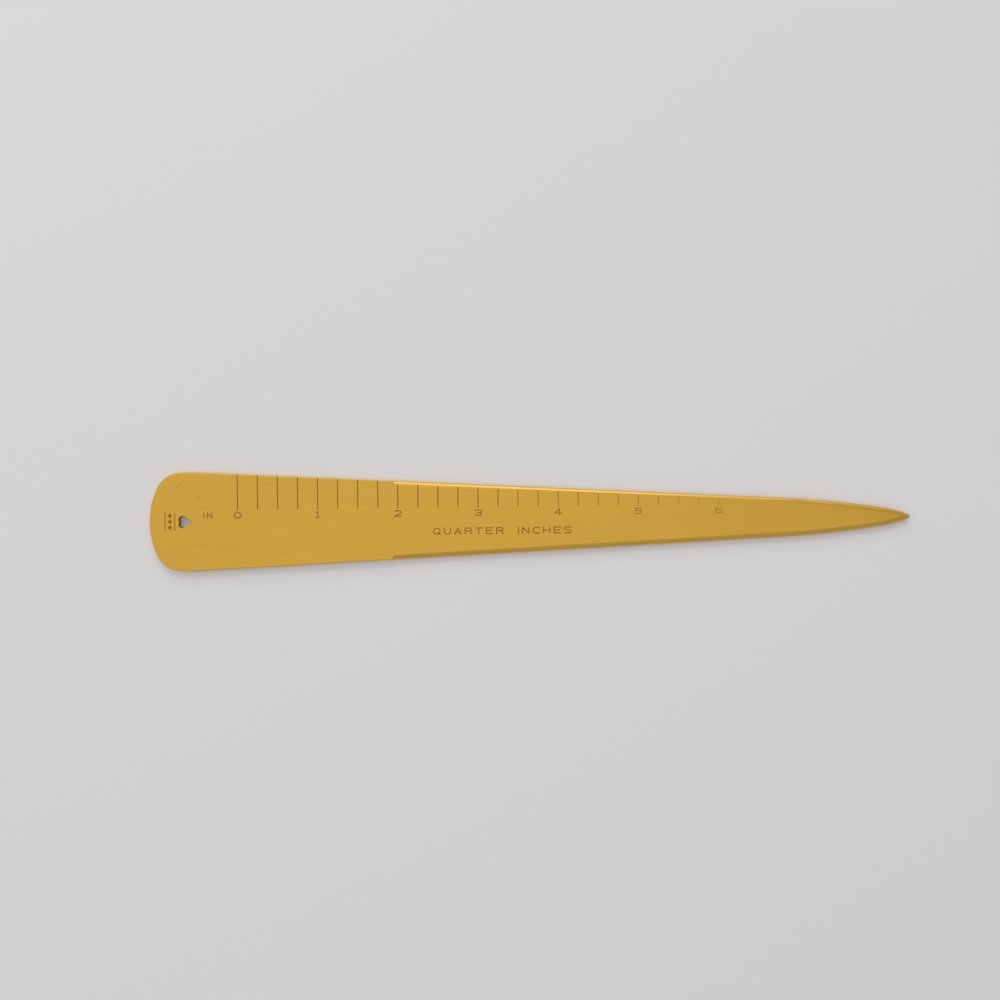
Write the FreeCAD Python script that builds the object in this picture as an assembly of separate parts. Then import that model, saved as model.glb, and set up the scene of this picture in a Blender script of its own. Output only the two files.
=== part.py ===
"""Flat brass letter opener with an etched six-inch rule, in millimetres and degrees.

The opener is one blank of brass sheet. It is widest near its rounded end, where a small
heart-shaped hole lets it hang, and its straight sides run in to a curved point. Both edges
are ground thinner, on both faces and to a rounded slope, from just before the two-inch line to
the point, and the other edges are rounded less. The rule, its numerals, a caption and a small
ornament are etched into the top face. The hollows hold dark enamel, which stays a little below
the brass.

X runs along the blade towards the point, Y across it towards the edge that carries the
rule, and Z up out of the etched face. The origin is on the underside, at the middle of the
length and on the centre line.
"""

import FreeCAD, Part
import math
import os

from FreeCAD import Vector

# Blank
LENGTH = 241.0
THICKNESS = 2.4
END_WIDTH = 32.88           # between the side lines, prolonged to the line that touches the end
END_RADIUS = 25.6
CORNER_RADIUS = 8.6
EASE_RADIUS = 76.0          # eases the corner into the side
SIDE_START = 16.6           # from the rounded end, where the sides become straight
ROUNDED_WIDTH = 0.3         # of the plain rounding, on the edges that aren't ground
ROUNDED_DEPTH = 0.35
ROUNDED_CREST_TILT = 40.0
POINT_LENGTH = 40.6         # from where the sides begin to curve in, to the tip
POINT_WIDTH = 12.44         # between the sides where they begin to curve in
NOSE_RADIUS = 45.0          # last curve of the point, up to the rounded tip
TIP_ANGLE = 20.0            # between that curve and the centre line, where the tip begins
TIP_RADIUS = 0.85

# Ground edges
GROUND_START = 76.8         # from the rounded end
GROUND_WIDTH = 1.5
GROUND_DEPTH = 0.75
GROUND_CREST_TILT = 14.0
RUN_IN = 0.9                # length over which the rounding widens into the ground edge

# Heart-shaped hanging hole, with its point towards the tip
HEART_FROM_END = 9.2
HEART_LENGTH = 4.6
HEART_WIDTH = 3.95
HEART_LOBE_RADIUS = 1.25

# Etched marks
ETCH_DEPTH = 0.12
ENAMEL_BELOW_FACE = 0.04
CREST_DEPTH = ETCH_DEPTH + 0.03     # of a rounding's flat crest, on which the lines run out
INCH = 25.4
RULE_INCHES = 6
PARTS_PER_INCH = 4
ZERO_FROM_END = 28.0
RULE_SKEW = 0.2             # the etched art sits this far from square with the centre line
LINE_WIDTH = 0.27
INCH_LINE_FOOT = 3.45       # how far from the centre line the inch lines stop
QUARTER_LINE_FOOT = 3.7
NUMERAL_MIDDLE = 1.98
NUMERAL_HEIGHT = 2.05
NUMERAL_WIDTH = 2.45
NUMERAL_STROKE = 0.34
UNIT_FROM_END = 18.6
UNIT_MIDDLE = 2.05
UNIT_HEIGHT = 1.8
UNIT_LETTER_WIDTH = 1.75
UNIT_GAP = 0.75
CAPTION = "QUARTER INCHES"
CAPTION_FROM_END = 111.8
CAPTION_MIDDLE = -3.8
CAPTION_HEIGHT = 2.15
CAPTION_LETTER_WIDTH = 2.35
CAPTION_GAP = 0.98
CAPTION_SPACE = 2.6
LETTER_STROKE = 0.32
ORNAMENT_FROM_END = 6.5
ORNAMENT_MIDDLE = 0.1
ORNAMENT_LENGTH = 5.6
ORNAMENT_WIDTH = 3.4
LOZENGES = 3
LOZENGE_LENGTH = 1.6
LOZENGE_WIDTH = 1.5

# Only for cutting tools: how far they reach past the metal
CLEAR = 1.0
PAST_LIP = 4.0              # degrees

UP = Vector(0, 0, 1)
DIAGONAL = math.sqrt(0.5)
END_X = -LENGTH / 2
TIP_X = LENGTH / 2
ZERO_POINT = Vector(END_X + ZERO_FROM_END, 0, 0)


def direction(angle):
    """Unit vector in the plane of the sheet, counted from +X towards +Y."""
    return Vector(math.cos(math.radians(angle)), math.sin(math.radians(angle)), 0)


class Straight:
    """A straight run of the outline. Its outward side is on the left, going to the tip."""

    def __init__(self, start, end):
        self.start = start
        self.end = end
        along = end - start
        self.normal = math.degrees(math.atan2(along.y, along.x)) + 90

    def edge(self):
        return Part.makeLine(self.start, self.end)

    def carry(self, rounding):
        """The solid that a rounding cuts away along the run."""
        face = Part.Face(rounding.wire(self.start, self.normal))
        return face.extrude(self.end - self.start)


class Bend:
    """An arc of the outline, given by where its outward normal points at its two ends."""

    def __init__(self, centre, radius, first, last):
        self.centre = centre
        self.radius = radius
        self.first = first
        self.last = last
        self.start = self.at(first)
        self.end = self.at(last)

    def at(self, angle):
        return self.centre + direction(angle) * self.radius

    def edge(self):
        middle = self.at((self.first + self.last) / 2)
        return Part.Arc(self.start, middle, self.end).toShape()

    def carry(self, rounding):
        """The solid that a rounding cuts away about the arc's centre."""
        face = Part.Face(rounding.wire(self.start, self.first))
        return face.revolve(self.centre, UP, self.last - self.first)


class Rounding:
    """What is cut away to round an edge: a flat crest and then an arc, closed through the air.

    The crest leaves the top face width inwards of the outline, and the arc that carries on
    from it crosses the outline depth below that face. A tilt is measured from the flat face.
    """

    def __init__(self, width, depth, crest_tilt):
        self.crest_tilt = crest_tilt
        self.crest_slope = math.tan(math.radians(crest_tilt))
        self.arc_start = width - CREST_DEPTH / self.crest_slope
        fall = depth - CREST_DEPTH
        lip_tilt = 2 * math.degrees(math.atan2(fall, self.arc_start)) - crest_tilt
        half_turn = math.radians(lip_tilt - crest_tilt) / 2
        self.radius = math.hypot(self.arc_start, fall) / 2 / math.sin(half_turn)
        self.last_tilt = min(lip_tilt + PAST_LIP, 90)

    def arc_point(self, tilt):
        """The arc's distance inwards of the outline, and its height, at a tilt."""
        change = (direction(self.crest_tilt) - direction(tilt)) * self.radius
        return self.arc_start + change.y, THICKNESS - CREST_DEPTH - change.x

    def wire(self, place, normal):
        """The section's outline, stood upright at a place on the blank's outline."""
        sky = THICKNESS + CLEAR
        crest_top = (self.arc_start + (CREST_DEPTH + CLEAR) / self.crest_slope, sky)
        tilts = (self.crest_tilt, (self.crest_tilt + self.last_tilt) / 2, self.last_tilt)
        first, middle, last = (self.arc_point(tilt) for tilt in tilts)
        section = [last, (-CLEAR, last[1]), (-CLEAR, sky), crest_top, first, middle]
        out = direction(normal)
        stood = [place - out * inward + UP * height for inward, height in section]
        arc = Part.Arc(stood[4], stood[5], stood[0]).toShape()
        return Part.Wire([arc] + Part.makePolygon(stood[:5]).Edges)


def angle_of(vector):
    return math.degrees(math.atan2(vector.y, vector.x))


def side_slope():
    return (END_WIDTH - POINT_WIDTH) / 2 / (LENGTH - POINT_LENGTH)


def side_point(from_end):
    """The place on the +Y side line that lies this far from the rounded end."""
    return Vector(END_X + from_end, END_WIDTH / 2 - side_slope() * from_end, 0)


def bridging_centre(first, first_reach, second, second_reach):
    """Where two circles about two centres cross, on the right of the way to the second."""
    gap = second - first
    along = (first_reach ** 2 - second_reach ** 2 + gap.Length ** 2) / (2 * gap.Length)
    aside = math.sqrt(first_reach ** 2 - along ** 2)
    ahead = Vector(gap).normalize()
    return first + ahead * along - UP.cross(ahead) * aside


def rounded_end(side_normal):
    """End arc, corner, and the long arc that eases the corner into the side."""
    start = side_point(SIDE_START)
    end_centre = Vector(END_X + END_RADIUS, 0, 0)
    ease_centre = start - direction(side_normal) * EASE_RADIUS
    corner_centre = bridging_centre(
        end_centre, END_RADIUS - CORNER_RADIUS, ease_centre, EASE_RADIUS - CORNER_RADIUS
    )
    corner_start = angle_of(corner_centre - end_centre)
    corner_end = angle_of(corner_centre - ease_centre)
    end_arc = Bend(end_centre, END_RADIUS, 180, corner_start)
    corner = Bend(corner_centre, CORNER_RADIUS, corner_start, corner_end)
    ease = Bend(ease_centre, EASE_RADIUS, corner_end, side_normal)
    return [end_arc, corner, ease]


def curved_point(side_normal):
    """The gentle shoulder arc that leaves the side, the nose arc, and half of the tip."""
    start = side_point(LENGTH - POINT_LENGTH)
    out = direction(side_normal)
    nose_end = 90 - TIP_ANGLE
    tip_centre = Vector(TIP_X - TIP_RADIUS, 0, 0)
    nose_centre = tip_centre - direction(nose_end) * (NOSE_RADIUS - TIP_RADIUS)
    to_start = start - nose_centre
    room = to_start.dot(out) - NOSE_RADIUS
    shoulder_radius = (to_start.dot(to_start) - NOSE_RADIUS ** 2) / (2 * room)
    shoulder_centre = start - out * shoulder_radius
    nose_start = angle_of(nose_centre - shoulder_centre)
    shoulder = Bend(shoulder_centre, shoulder_radius, side_normal, nose_start)
    nose = Bend(nose_centre, NOSE_RADIUS, nose_start, nose_end)
    tip = Bend(tip_centre, TIP_RADIUS, nose_end, 0)
    return [shoulder, nose, tip]


def upper_outline():
    """The outline's runs on the +Y side, from the rounded end's middle to the tip."""
    side_normal = 90 - math.degrees(math.atan(side_slope()))
    ground_start = side_point(GROUND_START)
    blunt_side = Straight(side_point(SIDE_START), ground_start)
    ground_side = Straight(ground_start, side_point(LENGTH - POINT_LENGTH))
    sides = [blunt_side, ground_side]
    return rounded_end(side_normal) + sides + curved_point(side_normal)


def plain_rounding():
    return Rounding(ROUNDED_WIDTH, ROUNDED_DEPTH, ROUNDED_CREST_TILT)


def ground_rounding():
    return Rounding(GROUND_WIDTH, GROUND_DEPTH, GROUND_CREST_TILT)


def mirrored(shape, normal, height=0.0):
    return shape.mirror(UP * height, normal)


def on_all_edges(shape):
    """The same cut at both edges of both faces."""
    below = mirrored(shape, UP, THICKNESS / 2)
    pair = [shape, below]
    return pair + [mirrored(one, Vector(0, 1, 0)) for one in pair]


def ground_ramp(side):
    """Where the grinding starts: the plain rounding widens into the ground edge."""
    along = (side.end - side.start).normalize()
    full_place = side.start + along * RUN_IN
    plain = plain_rounding().wire(side.start, side.normal)
    full = ground_rounding().wire(full_place, side.normal)
    return Part.makeLoft([plain, full], True, True), Straight(full_place, side.end)


def grinding(ground_side, shoulder, nose):
    """The stone's path along one edge: ramp, side, curves, and straight off past the tip."""
    ramp, rest = ground_ramp(ground_side)
    off_end = nose.end + direction(nose.last - 90) * (TIP_RADIUS * 3)
    runs = [rest, shoulder, nose, Straight(nose.end, off_end)]
    return [ramp] + [run.carry(ground_rounding()) for run in runs]


def heart_hole():
    """Two round lobes and two straight sides to a point."""
    start_x = END_X + HEART_FROM_END
    radius = HEART_LOBE_RADIUS
    lobe = Vector(start_x + radius, HEART_WIDTH / 2 - radius, 0)
    point = Vector(start_x + HEART_LENGTH, 0, 0)
    notch_turn = 180 + math.degrees(math.asin(lobe.y / radius))
    to_point = point - lobe
    side_turn = math.degrees(math.atan2(to_point.y, to_point.x))
    side_turn += math.degrees(math.acos(radius / to_point.Length))
    arc = Bend(lobe, radius, notch_turn, side_turn)
    upper = [arc.edge(), Part.makeLine(arc.end, point)]
    lower = [mirrored(edge, Vector(0, 1, 0)) for edge in upper]
    wire = Part.Wire(Part.__sortEdges__(upper + lower))
    face = Part.Face(wire)
    face.translate(UP * -CLEAR)
    return face.extrude(UP * (THICKNESS + 2 * CLEAR))


def blank():
    """The finished brass, before it is etched."""
    runs = upper_outline()
    edges = [run.edge() for run in runs]
    edges += [mirrored(edge, Vector(0, 1, 0)) for edge in edges]
    face = Part.Face(Part.Wire(Part.__sortEdges__(edges)))
    plate = face.extrude(UP * THICKNESS)
    blunt_runs = runs[:4]
    ground_side, shoulder, nose = runs[4:7]
    cuts = [run.carry(plain_rounding()) for run in blunt_runs]
    cuts += grinding(ground_side, shoulder, nose)
    tools = [tool for cut in cuts for tool in on_all_edges(cut)]
    return plate.cut(tools + [heart_hole()])


# Strokes. A line is (x0, y0, x1, y1) and an arc (x, y, radius, first angle, last angle).


def line_face(stroke, width):
    """A straight stroke, as long as its points plus half its width at each end."""
    start = Vector(stroke[0], stroke[1], 0)
    end = Vector(stroke[2], stroke[3], 0)
    along = (end - start).normalize() * (width / 2)
    across = UP.cross(along)
    first = start - along
    last = end + along
    corners = [first - across, last - across, last + across, first + across]
    return Part.Face(Part.makePolygon(corners + corners[:1]))


def arc_face(stroke, width):
    """A round stroke with square ends."""
    x, y, radius, first, last = stroke
    centre = Vector(x, y, 0)
    outer = Bend(centre, radius + width / 2, min(first, last), max(first, last))
    inner = Bend(centre, radius - width / 2, min(first, last), max(first, last))
    closing = [Part.makeLine(outer.end, inner.end), Part.makeLine(inner.start, outer.start)]
    edges = [outer.edge(), inner.edge()] + closing
    return Part.Face(Part.Wire(Part.__sortEdges__(edges)))


def letter_strokes(letter, w, h):
    """Plain wide capitals and figures, of straight strokes and round bends, w by h."""
    q = h / 4
    r = min(h / 2, w / 2)
    oval = [
        (r, 0, w - r, 0),
        (r, h, w - r, h),
        (r, h - r, r, 90, 270),
        (w - r, h - r, r, -90, 90),
    ]
    bowl_top = [(q, h, w - q, h), (w - q, 3 * q, q, 90, -90)]
    bowl_low = [(w - q, q, q, 90, -90), (w - q, 0, q, 0), (q, q, q, 270, 205)]
    b = 0.29 * h
    k = 0.4 * w
    strokes = {
        "0": oval,
        "1": [
            (w / 2, 0, w / 2, h),
            (w / 2, h, 0.28 * w, 0.8 * h),
            (0.27 * w, 0, 0.73 * w, 0),
        ],
        "2": [
            (q, 3 * q, q, 170, 90),
            (q, h, w - q, h),
            (w - q, 3 * q, q, 90, -45),
            (w - q + q * DIAGONAL, 3 * q - q * DIAGONAL, 0, 0),
            (0, 0, w, 0),
        ],
        "3": [(q, 3 * q, q, 155, 90)] + bowl_top + [(k, 2 * q, w - q, 2 * q)] + bowl_low,
        "4": [(0.68 * w, 0, 0.68 * w, h), (0.68 * w, h, 0, 0.3 * h), (0, 0.3 * h, w, 0.3 * h)],
        "5": [
            (0.1 * w, h, 0.92 * w, h),
            (0.1 * w, h, 0.06 * w, 2 * b),
            (0.06 * w, 2 * b, w - b, 2 * b),
            (w - b, b, b, 90, -90),
            (w - b, 0, q, 0),
            (q, q, q, 270, 205),
        ],
        "6": [
            (b, b, b, 90, 270),
            (w - b, b, b, -90, 90),
            (b, 0, w - b, 0),
            (b, 2 * b, w - b, 2 * b),
            (h - b, b, h - b, 180, 105),
        ],
        "A": [(0, 0, w / 2, h), (w / 2, h, w, 0), (0.18 * w, 0.33 * h, 0.82 * w, 0.33 * h)],
        "C": [
            (r, r, r, 90, 270),
            (r, h, w - q, h),
            (w - q, 3 * q, q, 90, 20),
            (r, 0, w - q, 0),
            (w - q, q, q, -90, -20),
        ],
        "E": [(0, 0, 0, h), (0, h, w, h), (0, h / 2, 0.85 * w, h / 2), (0, 0, w, 0)],
        "H": [(0, 0, 0, h), (w, 0, w, h), (0, h / 2, w, h / 2)],
        "I": [(w / 2, 0, w / 2, h)],
        "N": [(0, 0, 0, h), (0, h, w, 0), (w, 0, w, h)],
        "Q": oval + [(0.62 * w, 0.3 * h, w, -0.06 * h)],
        "R": [(0, 0, 0, h), (0, h, q, h)] + bowl_top
        + [(0, 2 * q, w - q, 2 * q), (w - 1.4 * q, 2 * q, w, 0)],
        "S": [(q, h, w - q, h), (w - q, 3 * q, q, 90, 25), (q, 3 * q, q, 90, 270)]
        + [(q, 2 * q, w - q, 2 * q)] + bowl_low,
        "T": [(0, h, w, h), (w / 2, 0, w / 2, h)],
        "U": [
            (0, h, 0, r),
            (r, r, r, 180, 270),
            (r, 0, w - r, 0),
            (w - r, r, r, 270, 360),
            (w, r, w, h),
        ],
    }
    return strokes[letter]


def letter_mark(letter, corner, width, height, stroke):
    """One letter as flat strokes that overlap, with its lower left corner at a place."""
    faces = []
    for piece in letter_strokes(letter, width - stroke, height - stroke):
        if len(piece) == 5:
            faces.append(arc_face(piece, stroke))
        elif abs(piece[0] - piece[2]) + abs(piece[1] - piece[3]) > stroke / 10:
            faces.append(line_face(piece, stroke))
    for face in faces:
        face.translate(corner + Vector(stroke / 2, stroke / 2, 0))
    return faces


def word_marks(word, place, width, height, gap, space, stroke):
    """The letters of a word, centred on a place."""
    widths = [letter_advance(letter, width, space, stroke) for letter in word]
    x = place.x - (sum(widths) + gap * (len(word) - 1)) / 2
    marks = []
    for letter, advance in zip(word, widths):
        if letter != " ":
            corner = Vector(x, place.y - height / 2, 0)
            marks.append(letter_mark(letter, corner, advance, height, stroke))
        x += advance + gap
    return marks


def letter_advance(letter, width, space, stroke):
    """How wide a letter is. An I is one stroke."""
    if letter == " ":
        return space
    return stroke if letter == "I" else width


def scale_line(index, foot):
    """One line of the rule, from its foot out past the edge."""
    x = ZERO_POINT.x + index * INCH / PARTS_PER_INCH
    return line_face((x, foot + LINE_WIDTH / 2, x, END_WIDTH), LINE_WIDTH)


def ornament_marks():
    """A column of lozenges between two fine bars, across the blade."""
    x = END_X + ORNAMENT_FROM_END
    half = (ORNAMENT_LENGTH - LINE_WIDTH) / 2
    faces = []
    for side in (-1, 1):
        bar_x = x + side * (ORNAMENT_WIDTH - LINE_WIDTH) / 2
        ends = (bar_x, ORNAMENT_MIDDLE - half, bar_x, ORNAMENT_MIDDLE + half)
        faces.append(line_face(ends, LINE_WIDTH))
    for index in range(LOZENGES):
        middle = ORNAMENT_MIDDLE + (index - (LOZENGES - 1) / 2) * ORNAMENT_LENGTH / LOZENGES
        corners = [
            Vector(x - LOZENGE_WIDTH / 2, middle, 0),
            Vector(x, middle - LOZENGE_LENGTH / 2, 0),
            Vector(x + LOZENGE_WIDTH / 2, middle, 0),
            Vector(x, middle + LOZENGE_LENGTH / 2, 0),
        ]
        faces.append(Part.Face(Part.makePolygon(corners + corners[:1])))
    return [[face] for face in faces]


def etched_marks():
    """The etched marks, by the name of the node that fills them. A mark is flat strokes."""
    lines = range(RULE_INCHES * PARTS_PER_INCH + 1)
    inches = [index for index in lines if index % PARTS_PER_INCH == 0]
    quarters = [index for index in lines if index % PARTS_PER_INCH]
    groups = {
        "inch_line_fill": [[scale_line(index, INCH_LINE_FOOT)] for index in inches],
        "quarter_line_fill": [[scale_line(index, QUARTER_LINE_FOOT)] for index in quarters],
    }
    for number, index in enumerate(inches):
        place = ZERO_POINT + Vector(index * INCH / PARTS_PER_INCH, NUMERAL_MIDDLE, 0)
        groups[f"numeral_{number}_fill"] = word_marks(
            str(number), place, NUMERAL_WIDTH, NUMERAL_HEIGHT, 0, 0, NUMERAL_STROKE
        )
    unit_place = Vector(END_X + UNIT_FROM_END, UNIT_MIDDLE, 0)
    groups["unit_label_fill"] = word_marks(
        "IN", unit_place, UNIT_LETTER_WIDTH, UNIT_HEIGHT, UNIT_GAP, 0, LETTER_STROKE
    )
    caption_place = Vector(END_X + CAPTION_FROM_END, CAPTION_MIDDLE, 0)
    groups["caption_fill"] = word_marks(
        CAPTION, caption_place, CAPTION_LETTER_WIDTH, CAPTION_HEIGHT, CAPTION_GAP,
        CAPTION_SPACE, LETTER_STROKE
    )
    for face in (face for marks in groups.values() for mark in marks for face in mark):
        face.rotate(ZERO_POINT, UP, RULE_SKEW)
    groups["ornament_fill"] = ornament_marks()
    return groups


def raised(mark, low, high):
    """A mark's flat strokes made one solid between two heights."""
    strokes = []
    for face in mark:
        lifted = face.copy()
        lifted.translate(UP * low)
        strokes.append(lifted.extrude(UP * (high - low)))
    whole = strokes[0].fuse(strokes[1:]) if len(strokes) > 1 else strokes[0]
    return whole.removeSplitter()


def sole_shape(shapes):
    return shapes[0] if len(shapes) == 1 else Part.makeCompound(shapes)


def build():
    """The etched blade, and the enamel in each group of hollows."""
    brass = blank()
    floor = THICKNESS - ETCH_DEPTH
    enamel_top = THICKNESS - ENAMEL_BELOW_FACE
    nodes = {}
    hollows = []
    for name, marks in etched_marks().items():
        hollows += [raised(mark, floor, THICKNESS + CLEAR) for mark in marks]
        fills = [brass.common(raised(mark, floor, enamel_top)) for mark in marks]
        nodes[name] = sole_shape([solid for fill in fills for solid in fill.Solids])
    nodes["blade"] = sole_shape(brass.cut(hollows).Solids)
    return nodes


os.makedirs("parts", exist_ok=True)
for node, shape in build().items():
    shape.exportStep(f"parts/{node}.step")
    print(node, len(shape.Solids), "solids", round(shape.Volume, 3), "mm3", shape.isValid())
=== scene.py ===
"""Looks for a flat brass letter opener with an etched inch rule, lying on a pale table.

The opener's metal and the enamel in its marks keep the shapes of the fixed frame. This script
gives each its finish, and adds the table, the light and the camera. Lengths are in metres,
and patterns are worked out in millimetres.
"""

import math

import bmesh
import bpy
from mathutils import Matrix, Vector


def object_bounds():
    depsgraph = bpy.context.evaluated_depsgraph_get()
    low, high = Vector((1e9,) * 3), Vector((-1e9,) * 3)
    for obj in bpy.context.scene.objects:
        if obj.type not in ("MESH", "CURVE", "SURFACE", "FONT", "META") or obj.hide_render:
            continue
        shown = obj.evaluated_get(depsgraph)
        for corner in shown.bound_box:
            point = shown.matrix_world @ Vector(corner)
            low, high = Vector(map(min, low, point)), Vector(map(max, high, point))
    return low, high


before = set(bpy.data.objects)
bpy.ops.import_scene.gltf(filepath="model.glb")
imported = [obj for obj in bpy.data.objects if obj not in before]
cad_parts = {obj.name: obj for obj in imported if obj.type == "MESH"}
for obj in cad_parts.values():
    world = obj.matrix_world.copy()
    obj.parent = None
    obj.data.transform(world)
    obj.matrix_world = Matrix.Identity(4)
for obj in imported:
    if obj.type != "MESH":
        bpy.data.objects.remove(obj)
cad_low, cad_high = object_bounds()

# Blade. One blank of yellow brass sheet, linished along its length to a satin on both faces,
# with both long edges ground thin on a coarser wheel. It is lacquered, and has tarnished a
# little where fingers have worn through the lacquer near the rounded end.

MM = 0.001
BRASS = "#E9B848"
BRASS_IN_LINES = "#DFAB40"
GROUND_BRASS = "#EDBC60"
TARNISH = "#A87830"
TARNISH_STRENGTH = 0.22
LOBE_WALL_PAINTED_SHADE = "#A06A28"         # painted shade on the hanging hole's upright wall in its two lobes
LOBES = (-111.3, 0.0, 1.2)  # mm, between the lobes
LOBES_REACH = 2.5           # mm, from there to past their wall
LINE_WIDTH = 0.3            # mm. Real grit lines are a third of this, too fine to show
LINE_LENGTH = 30.0          # mm
LINE_DEPTH = 0.004          # mm
LINE_STRENGTH = 0.5
BAND_WIDTH = 2.2            # mm, of the belt's broader passes
BAND_LENGTH = 70.0          # mm
BAND_STRENGTH = 0.2
PIT_WIDTH = 0.5             # mm, of the faint specks left by rolling
PIT_DEPTH = 0.3             # of a line's depth
CLOUD_WIDTH = 40.0          # mm, of the patches where the satin is a little duller
SMOOTHEST = 0.36            # roughness
DULLEST = 0.42
GROUND_ROUGHER = 0.04
TARNISH_ROUGHER = 0.3
LACQUER = 0.3               # coat weight
LACQUER_ROUGHNESS = 0.25
FINGER_MARKS = [            # place in mm, half length and half width in mm, turn in degrees
    ((-111.2, 11.6, 2.4), (2.2, 0.75), 35),
    ((-105.0, 7.7, 2.4), (1.9, 0.7), -35),
]
RAGGED_WIDTH = 2.857        # mm, of the unevenness of a finger mark's edge
EASED = {"interpolation_type": "SMOOTHSTEP"}
COLOURS = {"data_type": "RGBA"}


def linear(hex_colour):
    """Scene-linear colour of an sRGB hex value."""
    channels = [int(hex_colour[i : i + 2], 16) / 255 for i in (1, 3, 5)]
    return [c / 12.92 if c <= 0.04045 else ((c + 0.055) / 1.055) ** 2.4 for c in channels] + [1]


def add(tree, kind, settings=None, **sockets):
    """Adds a node. A socket is given by name, or as n0, n1 by number, a value or an output."""
    node = tree.nodes.new("ShaderNode" + kind)
    for name, value in (settings or {}).items():
        setattr(node, name, value)
    for name, value in sockets.items():
        socket = node.inputs[int(name[1:]) if name[1:].isdigit() else name.replace("_", " ")]
        if isinstance(value, bpy.types.NodeSocket):
            tree.links.new(value, socket)
        else:
            socket.default_value = value
    return node


def new_material(name):
    """An empty material, its node tree, and the place on a piece in millimetres."""
    material = bpy.data.materials.new(name)
    material.use_nodes = True
    tree = material.node_tree
    tree.nodes.clear()
    place = add(tree, "TexCoord").outputs["Object"]
    millimetres = add(tree, "VectorMath", {"operation": "SCALE"}, n0=place, Scale=1 / MM)
    return material, tree, millimetres.outputs[0]


def finger_mark(tree, millimetres, centre, size, turn):
    """A soft-edged streak of tarnish about a place, from 1 to 0."""
    ragged = add(tree, "TexNoise", Vector=millimetres, Scale=1 / RAGGED_WIDTH, Detail=3.0)
    moved = add(tree, "VectorMath", {"operation": "SUBTRACT"}, n0=millimetres, n1=centre)
    turned = add(tree, "Mapping", {"vector_type": "TEXTURE"}, Vector=moved.outputs[0],
                 Rotation=(0, 0, math.radians(turn)), Scale=(*size, 1000))
    far = add(tree, "VectorMath", {"operation": "LENGTH"}, n0=turned.outputs[0]).outputs["Value"]
    uneven = add(tree, "Math", {"operation": "MULTIPLY_ADD"}, n0=ragged.outputs["Fac"], n1=0.8,
                 n2=far)
    return add(tree, "MapRange", EASED, Value=uneven.outputs[0], From_Min=0.5, From_Max=1.5,
               To_Min=1.0, To_Max=0.0).outputs[0]


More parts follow.
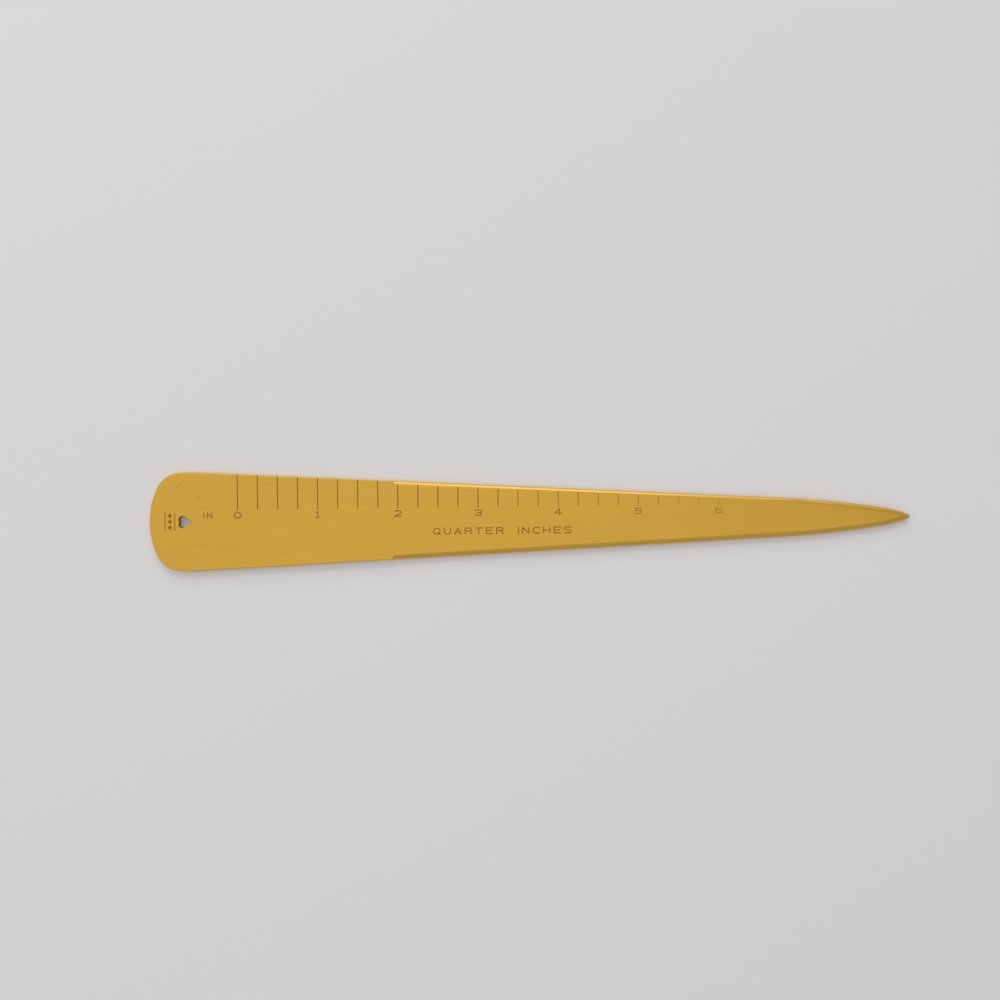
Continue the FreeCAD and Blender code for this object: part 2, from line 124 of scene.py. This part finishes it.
def satin_brass():
    """Linished and lacquered yellow brass, which shows long fine lines and a soft sheen."""
    material, tree, mm = new_material("satin_brass")
    stretched = add(tree, "Mapping", Vector=mm,
                    Scale=(1 / LINE_LENGTH, 1 / LINE_WIDTH, 1 / LINE_WIDTH)).outputs[0]
    lines = add(tree, "TexNoise", Vector=stretched, Scale=1.0, Detail=2.0, Roughness=0.6)
    lines = lines.outputs["Fac"]
    stretched = add(tree, "Mapping", Vector=mm,
                    Scale=(1 / BAND_LENGTH, 1 / BAND_WIDTH, 1 / BAND_WIDTH)).outputs[0]
    bands = add(tree, "TexNoise", Vector=stretched, Scale=1.0, Detail=2.0).outputs["Fac"]
    cloud = add(tree, "TexNoise", Vector=mm, Scale=1 / CLOUD_WIDTH, Detail=2.0).outputs["Fac"]
    pits = add(tree, "TexNoise", Vector=mm, Scale=1 / PIT_WIDTH, Detail=1.0).outputs["Fac"]

    # Ground slopes and roundings lean more than a face, and less than the blank's cut edge.
    normal = add(tree, "TexCoord").outputs["Normal"]
    rise = add(tree, "SeparateXYZ", Vector=normal).outputs["Z"]
    level = add(tree, "Math", {"operation": "ABSOLUTE"}, n0=rise).outputs[0]
    sloping = add(tree, "MapRange", EASED, Value=level, From_Min=0.9, From_Max=0.98,
                  To_Min=1.0, To_Max=0.0).outputs[0]
    ground = add(tree, "MapRange", EASED, Value=level, From_Min=0.35, From_Max=0.55,
                 To_Min=0.0, To_Max=sloping).outputs[0]

    # Painted shade: only the lobes' upright wall is darkened, and not the face round them.
    away = add(tree, "VectorMath", {"operation": "DISTANCE"}, n0=mm, n1=LOBES).outputs["Value"]
    in_lobes = add(tree, "Math", {"operation": "LESS_THAN"}, n0=away, n1=LOBES_REACH).outputs[0]
    painted_lobe_shade = add(tree, "MapRange", EASED, Value=level, From_Min=0.2, From_Max=0.5,
                  To_Min=in_lobes, To_Max=0.0).outputs[0]

    tarnished = 0.0
    for centre, size, turn in FINGER_MARKS:
        mark = finger_mark(tree, mm, centre, size, turn)
        tarnished = add(tree, "Math", {"operation": "MAXIMUM"}, n0=tarnished, n1=mark).outputs[0]
    tarnished = add(tree, "Math", {"operation": "MULTIPLY"}, n0=tarnished,
                    n1=TARNISH_STRENGTH).outputs[0]

    in_lines = add(tree, "MapRange", EASED, Value=lines, From_Min=0.35, From_Max=0.7,
                   To_Min=LINE_STRENGTH, To_Max=0.0).outputs[0]
    in_bands = add(tree, "MapRange", EASED, Value=bands, From_Min=0.35, From_Max=0.65,
                   To_Min=BAND_STRENGTH, To_Max=0.0).outputs[0]
    colour = linear(BRASS)
    for share, over in (
        (in_lines, BRASS_IN_LINES),
        (in_bands, BRASS_IN_LINES),
        (tarnished, TARNISH),
        (ground, GROUND_BRASS),
        # painted shade on the hanging hole's lobe wall
        (painted_lobe_shade, LOBE_WALL_PAINTED_SHADE),
    ):
        colour = add(tree, "Mix", COLOURS, n0=share, n6=colour, n7=linear(over)).outputs[2]

    rough = add(tree, "MapRange", EASED, Value=cloud, From_Min=0.3, From_Max=0.7,
                To_Min=SMOOTHEST, To_Max=DULLEST).outputs[0]
    rough = add(tree, "Math", {"operation": "MULTIPLY_ADD"}, n0=ground, n1=GROUND_ROUGHER,
                n2=rough).outputs[0]
    rough = add(tree, "Math", {"operation": "MULTIPLY_ADD"}, n0=tarnished, n1=TARNISH_ROUGHER,
                n2=rough).outputs[0]
    relief = add(tree, "Math", {"operation": "MULTIPLY_ADD"}, n0=pits, n1=PIT_DEPTH, n2=lines)
    bump = add(tree, "Bump", Strength=0.5, Distance=LINE_DEPTH * MM, Height=relief.outputs[0])
    shader = add(tree, "BsdfPrincipled", Base_Color=colour, Metallic=1.0, Roughness=rough,
                 Normal=bump.outputs[0], Coat_Weight=LACQUER, Coat_Roughness=LACQUER_ROUGHNESS)
    add(tree, "OutputMaterial", Surface=shader.outputs[0])
    return material


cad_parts["blade"].material_slots[0].material = satin_brass()

# Rule. 25 lines etched across the face and out over the edge, with brown enamel wiped into
# them and stoved. It lies just below the brass, and hands have rubbed it thin towards the point.

ENAMEL_IN_LINES = "#82500C"
RUBBED_IN_LINES = "#D49E3C"
RUB_STARTS = -30.0          # mm along the blade
RUB_ENDS = 65.0
SPECK_WIDTH = 0.5           # mm, of the places where the brass shows through
SPECK_STRENGTH = 0.3
ENAMEL_GRAIN_DEPTH = 0.01   # mm
ENAMEL_ROUGHNESS = 0.55
ENAMEL_GLOSS = 0.2          # specular level


def stoved_enamel(name, colour, rubbed_colour):
    """Brown stoving enamel, rubbed nearly matt, which lets the brass through where it is thin."""
    material, tree, mm = new_material(name)
    along = add(tree, "SeparateXYZ", Vector=mm).outputs["X"]
    specks = add(tree, "TexNoise", Vector=mm, Scale=1 / SPECK_WIDTH, Detail=3.0).outputs["Fac"]
    speckled = add(tree, "MapRange", EASED, Value=specks, From_Min=0.4, From_Max=0.75,
                   To_Min=0.0, To_Max=SPECK_STRENGTH).outputs[0]
    rubbed = add(tree, "MapRange", EASED, Value=along, From_Min=RUB_STARTS, From_Max=RUB_ENDS,
                 To_Min=speckled, To_Max=1.0).outputs[0]
    mixed = add(tree, "Mix", COLOURS, n0=rubbed, n6=linear(colour), n7=linear(rubbed_colour))
    bump = add(tree, "Bump", Strength=0.4, Distance=ENAMEL_GRAIN_DEPTH * MM, Height=specks)
    shader = add(tree, "BsdfPrincipled", Base_Color=mixed.outputs[2], Normal=bump.outputs[0],
                 Roughness=ENAMEL_ROUGHNESS, Specular_IOR_Level=ENAMEL_GLOSS)
    add(tree, "OutputMaterial", Surface=shader.outputs[0])
    return material


line_enamel = stoved_enamel("stoved_line_enamel", ENAMEL_IN_LINES, RUBBED_IN_LINES)
for name in ("inch_line_fill", "quarter_line_fill"):
    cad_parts[name].material_slots[0].material = line_enamel

# Numerals and unit label. The same enamel in broader strokes, where the wiping cloth lifts
# more of it out, so it is thinner and paler than in the lines.

ENAMEL_IN_NUMERALS = "#AC721A"
RUBBED_IN_NUMERALS = "#C08A2E"

numeral_enamel = stoved_enamel("stoved_numeral_enamel", ENAMEL_IN_NUMERALS, RUBBED_IN_NUMERALS)
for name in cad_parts:
    if name.startswith("numeral_") or name == "unit_label_fill":
        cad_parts[name].material_slots[0].material = numeral_enamel

# Caption. It names the unit of the lines, below the middle of the rule. It is etched and
# filled with the numerals, but sits where a hand rubs it less.

ENAMEL_IN_CAPTION = "#A26A12"
RUBBED_IN_CAPTION = "#AA741E"

caption_enamel = stoved_enamel("stoved_caption_enamel", ENAMEL_IN_CAPTION, RUBBED_IN_CAPTION)
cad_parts["caption_fill"].material_slots[0].material = caption_enamel

# Ornament. Three lozenges between two bars, across the face by the hanging hole, etched and
# filled with the rest. It is handled the most, and its enamel is worn thin.

ENAMEL_IN_ORNAMENT = "#AA7018"
RUBBED_IN_ORNAMENT = "#B8822C"

ornament_enamel = stoved_enamel("stoved_ornament_enamel", ENAMEL_IN_ORNAMENT, RUBBED_IN_ORNAMENT)
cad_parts["ornament_fill"].material_slots[0].material = ornament_enamel

# Table. A matt pale board, which the opener lies flat on. A hair's gap keeps the two flat
# faces out of one plane.

BOARD = "#F8F6F7"
BOARD_ROUGHNESS = 0.9
BOARD_SIDE = 3.0
BOARD_GAP = 0.02 * MM

board = bmesh.new()
bmesh.ops.create_grid(board, x_segments=1, y_segments=1, size=BOARD_SIDE / 2)
bmesh.ops.translate(board, verts=board.verts, vec=(0, 0, cad_low.z - BOARD_GAP))
board_mesh = bpy.data.meshes.new("table")
board.to_mesh(board_mesh)
board.free()
table = bpy.data.objects.new("table", board_mesh)
bpy.context.scene.collection.objects.link(table)
board_material, tree, mm = new_material("matt_board")
shader = add(tree, "BsdfPrincipled", Base_Color=linear(BOARD), Roughness=BOARD_ROUGHNESS)
add(tree, "OutputMaterial", Surface=shader.outputs[0])
table.data.materials.append(board_material)

# Light. A white tent all round, a broad soft lamp over the blade, two narrow ones beyond the
# edge that carries the rule, and a weak one beyond the rounded end.

TENT_STRENGTH = 0.4
LAMPS = {                   # place and size in m, and radiance
    "overhead_lamp": ((-0.04, 0.0, 1.2), (1.1, 1.4), 0.41),
    "rule_side_lamp": ((-0.2, 1.12, 1.02), (1.35, 0.36), 2.3),
    "low_rule_side_lamp": ((-0.2, 1.6, 0.72), (1.8, 0.5), 1.5),
    "rounded_end_lamp": ((-1.3, 0.1, 0.95), (0.9, 0.6), 1.5),
}

world = bpy.data.worlds.new("light_tent")
world.use_nodes = True
world.node_tree.nodes["Background"].inputs["Color"].default_value = (1, 1, 1, 1)
world.node_tree.nodes["Background"].inputs["Strength"].default_value = TENT_STRENGTH
bpy.context.scene.world = world

for name, (place, size, radiance) in LAMPS.items():
    lamp = bpy.data.lights.new(name, "AREA")
    lamp.shape = "RECTANGLE"
    lamp.size, lamp.size_y = size
    lamp.energy = radiance * math.pi * size[0] * size[1]
    holder = bpy.data.objects.new(name, lamp)
    holder.location = place
    holder.rotation_euler = (-Vector(place)).to_track_quat("-Z", "Y").to_euler()
    bpy.context.scene.collection.objects.link(holder)

# Camera. It looks straight down on the etched face, turned very slightly against the blade's
# centre line, from as far up as makes the view this wide at the face.

VIEW_WIDTH = 316.84 * MM
VIEW_ANGLE = math.radians(50.0)
VIEW_CENTRE = (-9.35 * MM, 6.18 * MM)
VIEW_TURN = math.radians(-0.4526)

lens = bpy.data.cameras.new("camera")
lens.angle = VIEW_ANGLE
camera = bpy.data.objects.new("camera", lens)
view_distance = VIEW_WIDTH / 2 / math.tan(VIEW_ANGLE / 2)
camera.location = (*VIEW_CENTRE, cad_high.z + view_distance)
camera.rotation_euler = (0, 0, VIEW_TURN)
bpy.context.scene.collection.objects.link(camera)
bpy.context.scene.camera = camera
bpy.context.scene.view_settings.view_transform = "Standard"
